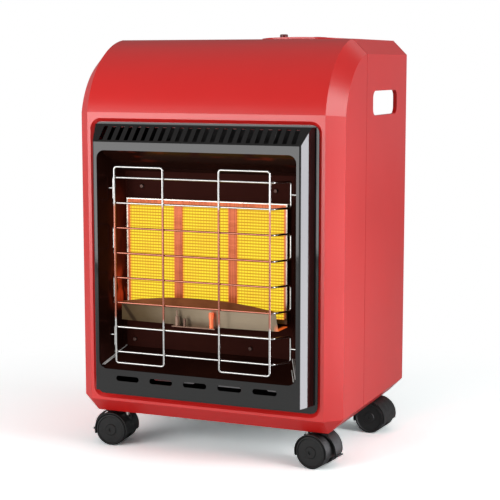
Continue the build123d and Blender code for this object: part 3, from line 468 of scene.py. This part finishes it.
class HEATER_OT_firebox(bpy.types.Operator):
    """Finish the firebox, the deflector tray and the pilot"""

    bl_idname = "heater.firebox"
    bl_label = "Firebox"

    def execute(self, context):
        self.finish_pan()
        self.add_hems()
        self.finish_tray()
        self.finish_pilot()
        return {"FINISHED"}

    def finish_pan(self):
        """Dark enamel, dull on the back wall. The glow on the left wall, and the faint one on the ceiling, is
        a painted reflection of the flames.
        """
        low, high = corners("firebox")
        foot, top = (corner[2] for corner in corners("plaque_1"))
        darker, browner, flame = (0.008, 0.0028, 0.0024), (0.022, 0.006, 0.0035), (0.42, 0.035, 0.008)
        pan = Finish("firebox_enamel", (0.012, 0.004, 0.003), 0.28, ior=1.36)
        x, y, z = pan.axes()
        pan.rough(pan.span(y, high[1] - 9 * MM, high[1] - 4 * MM, 0.14, 0.5))
        pan.paint(pan.blend(pan.noise(12, 4), darker, browner))
        # painted reflection: from here to the glow, masks for the flames' glow painted on the left wall and
        # the ceiling
        left = pan.span(x, low[0] + 19 * MM, low[0] + 31 * MM, 1.0, 0.0)
        beside = pan.times(left, pan.span(y, low[1] + 14 * MM, high[1] - 8 * MM))
        level = pan.times(pan.span(z, foot - 4.5 * MM, foot + 25.5 * MM),
                          pan.span(z, top - 35.5 * MM, top + 54.5 * MM, 1.0, 0.0))
        streaks = pan.span(pan.noise(1, 2, 0.5, pan.stretch((1, 110, 30))), 0.42, 0.62)
        tongues = pan.times(streaks, pan.span(z, foot + 40.5 * MM, foot + 70.5 * MM, 1.0, 0.06))
        haze = pan.maths("ADD", pan.times(tongues, 0.9), 0.10)
        trace = pan.span(pan.noise(1, 3, 0.6, pan.stretch((14, 60, 1))), 0.52, 0.72, 0.0, 0.18)
        ceiling = pan.times(pan.span(z, high[2] - 30 * MM, high[2] - 8 * MM), trace)
        painted_flame_reflection = pan.maths("MAXIMUM", pan.times(pan.times(beside, level), haze), ceiling)
        pan.glow(pan.blend(painted_flame_reflection, UNLIT, flame), 1.0)
        pan.set(Specular_Tint=(1.0, 0.2, 0.16, 1), Specular_IOR_Level=0.18)
        pan.bump(pan.noise(90, 2), 0.08, 0.8 * MM)
        assign(pan.material, "firebox")

    def add_hems(self):
        """Pale bars along each lower corner of the pan, whose bright colour is a painted highlight of the
        fold: a bar on the line mouth + t (back - mouth), for t from 0 to 1, and a thinner one laid beside it
        towards the middle, which ends at t = 0.5."""
        low, high = corners("firebox")
        # painted highlight: pale colour for the bright lines along the pan's folded corners
        hem_highlight = Finish("hem_painted_highlight", (0.72, 0.70, 0.68), 0.4)
        hem_highlight.wander(200, 3, 0.3, 0.55)
        radius, thin_radius, aside, raised = 0.75 * MM, 0.7 * MM, 3.6 * MM, 0.5 * MM
        for side, word in ((-1, "left"), (1, "right")):
            mouth = np.array([side * (high[0] - 5.5 * MM), low[1] + 4.5 * MM, low[2] + 8 * MM])
            back = np.array([side * (high[0] - 26.5 * MM), high[1] - 2.5 * MM, low[2] + 32 * MM])
            inward = np.array([-side * aside, 0, raised])
            halfway = mouth + 0.5 * (back - mouth)
            points, faces = gather([rod_along(mouth, back, radius),
                                    rod_along(mouth + inward, halfway + inward, thin_radius)])
            make_piece(f"firebox_hem_{word}", points, faces, hem_highlight.material, "heater")

    def finish_tray(self):
        """Steel, darker and browner towards the left, with painted shade along one slanted fold line, a hot
        lip and painted plaque light on its right end.
        """
        low, high = corners("deflector_tray")
        lip_start, fold_height = low[2] + 25 * MM, low[2] + 12 * MM
        darker_left_tone, lighter_right_tone, painted_fold_shade = (0.085, 0.055, 0.028), (0.30, 0.235, 0.165), (0.022, 0.012, 0.008)
        scorched, blued, painted_end_light = (0.16, 0.05, 0.018), (0.30, 0.10, 0.04), (0.9, 0.14, 0.02)
        tray = brushed("deflector_steel", (0.30, 0.24, 0.16), 0.4)
        x, _, z = tray.axes()
        cloudy_x = tray.maths("ADD", x, tray.times(tray.noise(22, 3), 90 * MM))
        reach = tray.span(cloudy_x, -60 * MM, 100 * MM)
        fold_x, fold_slope = -109 * MM, 0.7
        slant = tray.maths("ADD", x, tray.times(z, fold_slope))
        off_fold = tray.maths("ABSOLUTE", tray.maths("SUBTRACT", slant, fold_x + fold_slope * fold_height))
        # darker and browner towards the left, lighter towards the right
        wall = tray.blend(reach, darker_left_tone, lighter_right_tone)
        # painted shade: dark band along a slanted fold line, where the tray has no fold
        wall = tray.blend(tray.span(off_fold, 1.5 * MM, 6 * MM, 0.75, 0.0), wall, painted_fold_shade)
        lip = tray.blend(tray.noise(30, 3), scorched, blued)
        tray.paint(tray.blend(tray.span(z, lip_start - 1 * MM, lip_start + 1.5 * MM), wall, lip))
        # painted light: the plaques' glow on the right end of the tray
        lit_end = tray.times(tray.span(x, high[0] - 8 * MM, high[0] - 2 * MM),
                             tray.span(z, fold_height, low[2]))
        tray.glow(tray.blend(lit_end, UNLIT, painted_end_light), 0.7)
        assign(tray.material, "deflector_tray")

    def finish_pilot(self):
        """Sooted bracket and probe, a pilot burner with a painted orange glow and the spark rod's browned
        ceramic.
        """
        assign(brushed("pilot_steel", (0.20, 0.12, 0.09), 0.38).material, "pilot_bracket", "flame_probe")
        pilot = brushed("pilot_steel_painted_glow", (0.62, 0.16, 0.08), 0.35)
        # painted light: orange glow on the pilot burner's metal
        pilot.glow((1.0, 0.16, 0.05), 0.45)
        assign(pilot.material, "pilot_burner")
        sleeve = Finish("spark_ceramic", (0.34, 0.20, 0.14), 0.45)
        sleeve.wander(200, 3, 0.35, 0.55)
        assign(sleeve.material, "spark_rod")


class HEATER_OT_burner(bpy.types.Operator):
    """Light the plaques and finish their frame"""

    bl_idname = "heater.burner"
    bl_label = "Burner"

    def execute(self, context):
        glow = context.scene.heater_glow
        plaques = sorted(nodes_named("plaque_"))
        for node in plaques:
            assign(glowing_ceramic(f"lit_{node}", glow, *corners(node)), node)
        self.finish_frame(plaques)
        return {"FINISHED"}

    def finish_frame(self, plaques):
        """Frame with painted plaque light in streaks beside the plaques, under an upper edge with a painted
        highlight.
        """
        low, high = corners(plaques[0])
        edge = corners(plaques[-1])[1][0]
        top = corners("burner_frame")[1][2]
        outside, plaque_lit_tint, bright = (0.30, 0.25, 0.21), (0.12, 0.035, 0.02), (0.80, 0.76, 0.70)
        lit_streak_glow, dim_streak_glow, edge_light = (0.66, 0.15, 0.045), (0.38, 0.07, 0.022), (0.22, 0.17, 0.14)
        rim = brushed("burner_frame_steel", (0.62, 0.58, 0.54), 0.3)
        inner = hot_zone(rim, low[2] + 3 * MM, high[2] + 5.5 * MM, edge + 1 * MM, 0.8 * MM)
        streak = rim.span(rim.noise(1, 2, 0.5, rim.stretch((420, 1, 6))), 0.42, 0.62)
        lip = rim.span(rim.axes()[2], top - 1.1 * MM, top - 0.7 * MM)
        # painted highlight on the upper edge, and painted plaque light as a red-brown tint beside the plaques
        rim.paint(rim.blend(lip, rim.blend(inner, outside, plaque_lit_tint), bright))
        # painted light: the plaques' glow in streaks beside them, and a glow on the upper edge
        painted_plaque_light = rim.blend(inner, UNLIT, rim.blend(streak, lit_streak_glow, dim_streak_glow))
        rim.glow(rim.blend(lip, painted_plaque_light, edge_light), 0.62)
        assign(rim.material, "burner_frame")


class HEATER_OT_guard(bpy.types.Operator):
    """Plate the wire guard, tinted where the plaques heat it"""

    bl_idname = "heater.guard"
    bl_label = "Wire guard"

    def execute(self, context):
        metal = context.scene.heater_metal
        low, high = corners("plaque_1")
        edge = corners("plaque_3")[1][0]
        plating = chrome("guard_plating", tuple(metal.chrome))
        heat = hot_zone(plating, low[2] - 4 * MM, high[2], edge, 4 * MM)
        plating.paint(plating.blend(heat, tuple(metal.chrome), tuple(metal.hot_wire)))
        assign(plating.material, "wire_guard")
        return {"FINISHED"}


class HEATER_OT_gas_parts(bpy.types.Operator):
    """Finish the brass, the pipe and the plated steel inside"""

    bl_idname = "heater.gas_parts"
    bl_label = "Gas parts and inner sheets"

    def execute(self, context):
        spangle = context.scene.heater_metal.spangle
        front = corners("divider_panel")[0][1]
        shade_share, sheet_skin = 0.6, 0.3 * MM
        assign(zinc("zinc_sheet", spangle), "base_pan", "tank_ring", "manifold_bracket")
        # painted shade: divider darkened overall and near black on its front, seen through the louvre slots
        assign(zinc("zinc_sheet_painted_shade", spangle, shade_share, front + sheet_skin), "divider_panel")
        # painted shade: near-black heat shield seen through the louvre slots
        assign(moulded("sheet_painted_shade_dark", (0.02, 0.018, 0.017), 0.6), "top_heat_shield")
        assign(zinc("aluminised_burner", 4 * MM), "gas_manifold", *nodes_named("burner_body"))
        assign(brushed("turned_brass", (0.72, 0.50, 0.20), 0.26).material, "injectors", "valve_body")
        assign(brushed("drawn_aluminium", (0.74, 0.74, 0.75), 0.3, (900, 900, 30)).material, "supply_pipe")
        bright = chrome("screw_plating", (0.70, 0.69, 0.66)).material
        assign(bright, "side_screws", *nodes_named("castor_stem"))
        assign(brushed("heated_screw_steel", (0.06, 0.035, 0.03), 0.4).material, "back_screws")
        assign(brushed("stem_steel", (0.6, 0.6, 0.6), 0.28).material, "valve_stem", "push_sleeve")
        assign(moulded("switch_plastic", (0.02, 0.02, 0.021), 0.5), "tilt_switch", "igniter_body")
        return {"FINISHED"}


class HEATER_OT_controls(bpy.types.Operator):
    """Finish the knob and the igniter button, with the knob's pointer line"""

    bl_idname = "heater.controls"
    bl_label = "Controls"

    def execute(self, context):
        assign(moulded("knob_plastic", (0.018, 0.018, 0.019), 0.32), "control_knob", "knob_well")
        # the button's maroon is a painted reflection of the red shell
        assign(moulded("button_plastic", (0.13, 0.016, 0.016), 0.28), "igniter_button")
        self.add_pointer()
        return {"FINISHED"}

    def add_pointer(self):
        """Pale line on the knob's grip: a bar whose height above the grip is flattened to 0.3 of itself."""
        low, high = corners("control_knob")
        middle, top = (low + high) / 2, high[2]
        flattening, raised, radius = 0.3, 0.05 * MM, 0.7 * MM
        start, end = middle[1] - 14 * MM, middle[1] - 5 * MM
        line = Finish("pointer_paint", (0.85, 0.85, 0.83), 0.5)
        line.wander(400, 2, 0.4, 0.6)
        points, faces = rod_along((middle[0], start, top + raised), (middle[0], end, top + raised), radius)
        points[..., 2] = top + flattening * (points[..., 2] - top)
        make_piece("knob_pointer", points, faces, line.material, "knob")


class HEATER_OT_castors(bpy.types.Operator):
    """Finish the castors and their brake levers"""

    bl_idname = "heater.castors"
    bl_label = "Castors"

    def execute(self, context):
        jet_black = (0.004, 0.004, 0.004)
        assign(moulded("castor_nylon", jet_black, 0.5), *nodes_named("castor_hood", "brake_lever"))
        assign(moulded("wheel_nylon", jet_black, 0.55), *nodes_named("castor_wheels", "castor_axle"))
        return {"FINISHED"}


class HEATER_OT_stage(bpy.types.Operator):
    """Set up the floor, the lamps, the sky and the camera"""

    bl_idname = "heater.stage"
    bl_label = "Studio"

    def execute(self, context):
        studio = context.scene.heater_studio
        scene = context.scene
        scene.view_settings.view_transform = "Standard"
        self.lay_floor()
        self.hang_sky(scene, studio.sky)
        # name, place, point aimed at, width and height, watts
        self.hang_lamp("right_box", (2.3, -0.35, 1.15), (0, 0, 0.3), (1.2, 1.2), studio.right)
        self.hang_lamp("front_box", (-1.0, -1.7, 0.53), (-0.05, -0.1, 0.3), (1.6, 1.0), studio.front)
        self.hang_lamp("back_box", (0.5, 2.1, 2.2), (0, 0, 0.4), (1.3, 1.0), studio.back)
        strip = self.hang_lamp("side_strip", (0.5, -0.03, 0.22), (0.16, -0.15, 0.22), (0.29, 0.5),
                               studio.strip)
        strip.data.color = (0.95, 0.94, 1.0)
        strip.visible_diffuse = False
        camera = bpy.data.objects.new("view_camera", bpy.data.cameras.new("view_camera"))
        scene.collection.objects.link(camera)
        camera.data.sensor_width = 36     # millimetres, as the lens
        camera.data.lens = studio.lens
        camera.location = studio.eye
        camera.rotation_euler = (math.pi / 2 - studio.pitch, 0, studio.yaw)
        scene.camera = camera
        return {"FINISHED"}

    def lay_floor(self):
        """Flat square of floor. The eye sees it bright, with the shadow, and plain white far from the middle.
        Reflections see part of that ahead of the heater, and all other light meets it at its plain tone."""
        side, drop = 5.0, -0.2 * MM
        x, y = np.meshgrid([-side, side], [-side, side])
        points = np.stack([x, y, np.full_like(x, drop)], axis=-1).reshape(-1, 3)
        mesh = bpy.data.meshes.new("studio_floor")
        mesh.from_pydata(points.tolist(), [], [(0, 1, 3, 2)])
        floor = bpy.data.objects.new("studio_floor", mesh)
        bpy.context.scene.collection.objects.link(floor)
        material = bpy.data.materials.new("floor_paper")
        material.use_nodes = True
        nodes = Nodes(material.node_tree)
        nodes.tree.nodes.clear()
        plain_tone, seen_tone, tint = 0.7, 2.0, (0.95, 1, 1)
        white_from, white_at = 0.35, 0.8
        mirror_from, mirror_at, mirror_share = -0.15, -0.45, 0.75
        place = nodes.add("ShaderNodeTexCoord").outputs["Object"]
        path = nodes.add("ShaderNodeLightPath").outputs
        ahead = nodes.span(nodes.split(place)[1], mirror_from, mirror_at, 0.0, mirror_share, "LINEAR")
        shown = nodes.maths("MAXIMUM", path["Is Camera Ray"], nodes.times(path["Is Glossy Ray"], ahead))
        paper = nodes.add("ShaderNodeBsdfDiffuse")
        tone = nodes.blend(shown, scaled(tint, plain_tone), scaled(tint, seen_tone))
        nodes.feed(paper.inputs["Color"], tone)
        white = nodes.add("ShaderNodeEmission")
        reach = nodes.add("ShaderNodeVectorMath", operation="LENGTH")
        nodes.feed(reach.inputs[0], place)
        far = nodes.span(reach.outputs["Value"], white_from, white_at, kind="LINEAR")
        nodes.send("ShaderNodeOutputMaterial", nodes.times(far, shown), paper, white)
        mesh.materials.append(material)

    def hang_sky(self, scene, strength):
        """Soft sky, white to the eye, dimmer a third of the way up than at the horizon and overhead."""
        world = bpy.data.worlds.new("studio_sky")
        scene.world = world
        world.use_nodes = True
        nodes = Nodes(world.node_tree)
        nodes.tree.nodes.clear()
        horizon, middle, zenith = (0.62, 0.62, 0.64, 1), (0.28, 0.28, 0.28, 1), (0.68, 0.68, 0.68, 1)
        middle_at = 0.35
        ramp = nodes.add("ShaderNodeValToRGB")
        stops = ramp.color_ramp.elements
        stops[0].color, stops[1].color = horizon, zenith
        stops.new(middle_at).color = middle
        nodes.feed(ramp.inputs["Fac"], nodes.split(nodes.add("ShaderNodeTexCoord").outputs["Generated"])[2])
        soft = nodes.add("ShaderNodeBackground")
        nodes.feed(soft.inputs["Color"], ramp.outputs["Color"])
        soft.inputs["Strength"].default_value = strength
        white = nodes.add("ShaderNodeBackground")
        white.inputs["Color"].default_value = (1, 1, 1, 1)
        path = nodes.add("ShaderNodeLightPath").outputs
        shown = nodes.maths("MAXIMUM", path["Is Camera Ray"], path["Is Transmission Ray"])
        nodes.send("ShaderNodeOutputWorld", shown, soft, white)

    def hang_lamp(self, name, place, aim, size, watts):
        """Rectangular softbox at a place, facing a point."""
        data = bpy.data.lights.new(name, "AREA")
        data.shape = "RECTANGLE"
        data.size, data.size_y = size
        data.energy = watts
        lamp = bpy.data.objects.new(name, data)
        bpy.context.scene.collection.objects.link(lamp)
        lamp.location = place
        lamp.rotation_euler = (Vector(aim) - Vector(place)).to_track_quat("-Z", "Y").to_euler()
        return lamp


PIECES = (HEATER_OT_shells, HEATER_OT_front_frame, HEATER_OT_firebox, HEATER_OT_burner, HEATER_OT_guard,
          HEATER_OT_gas_parts, HEATER_OT_controls, HEATER_OT_castors, HEATER_OT_stage)


class HEATER_PT_panel(bpy.types.Panel):
    """Sidebar panel with one button for each piece"""

    bl_idname = "HEATER_PT_panel"
    bl_label = "Cabinet heater"
    bl_space_type = "VIEW_3D"
    bl_region_type = "UI"
    bl_category = "Heater"

    def draw(self, context):
        for operator in PIECES:
            self.layout.operator(operator.bl_idname)
        for group in (context.scene.heater_enamel, context.scene.heater_glow,
                      context.scene.heater_metal, context.scene.heater_studio):
            box = self.layout.box()
            for key in group.__annotations__:
                box.prop(group, key)


SETTINGS = {"heater_enamel": EnamelSettings, "heater_glow": GlowSettings,
            "heater_metal": MetalSettings, "heater_studio": StudioSettings}


def register():
    for kind in (*SETTINGS.values(), *PIECES, HEATER_PT_panel):
        bpy.utils.register_class(kind)
    for name, kind in SETTINGS.items():
        setattr(bpy.types.Scene, name, PointerProperty(type=kind))


def unregister():
    for name in SETTINGS:
        delattr(bpy.types.Scene, name)
    for kind in reversed((*SETTINGS.values(), *PIECES, HEATER_PT_panel)):
        bpy.utils.unregister_class(kind)


def main():
    """Builds every piece in order."""
    register()
    for operator in PIECES:
        group, name = operator.bl_idname.split(".")
        getattr(getattr(bpy.ops, group), name)()


if __name__ == "__main__":
    main()
